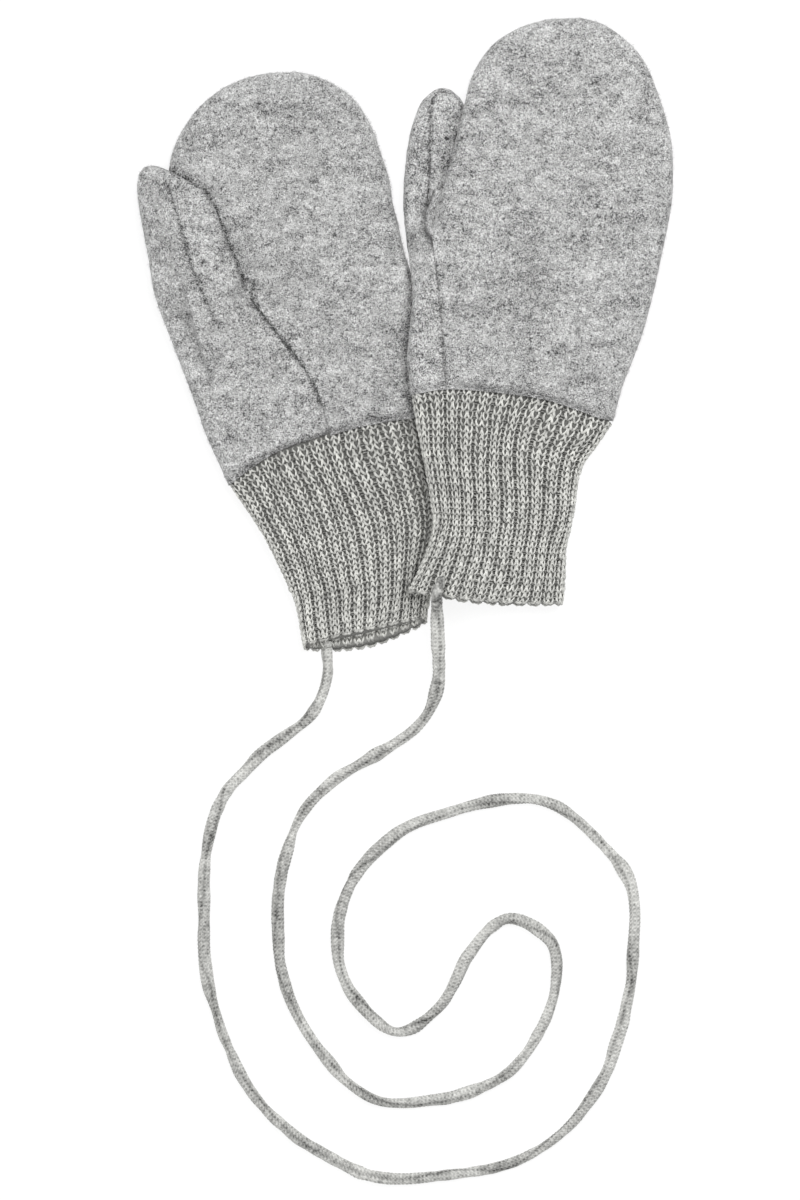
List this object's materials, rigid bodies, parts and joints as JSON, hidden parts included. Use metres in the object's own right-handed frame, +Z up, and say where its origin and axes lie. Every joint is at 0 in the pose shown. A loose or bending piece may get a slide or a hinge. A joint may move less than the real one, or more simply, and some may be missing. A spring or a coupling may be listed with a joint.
{
  "type": "pair of baby mittens",
  "caption": "Pair of baby mittens in brushed grey wool with thumb gussets and rib knit cuffs, laid flat and joined hem to hem by a long knitted cord.",
  "frame": {"origin": "on the table under the middle of the two mittens as laid, the cord left out", "axes": "+X to the right across both mittens, +Y from the cuffs toward the fingertips, +Z up off the table"},
  "size_m": [0.142, 0.3093, 0.0131],
  "materials": {
    "fleece": "matte brushed wool, light grey melange",
    "rib_knit": "matte rib knit, grey melange",
    "cord_knit": "matte knitted tube, grey melange"
  },
  "bodies": {
    "root": {"left_palm": "fleece", "left_back": "fleece", "left_thumb": "fleece", "left_cuff": "rib_knit", "right_palm": "fleece", "right_back": "fleece", "right_thumb": "fleece", "right_cuff": "rib_knit", "cord": "cord_knit"}
  },
  "joints": []
}
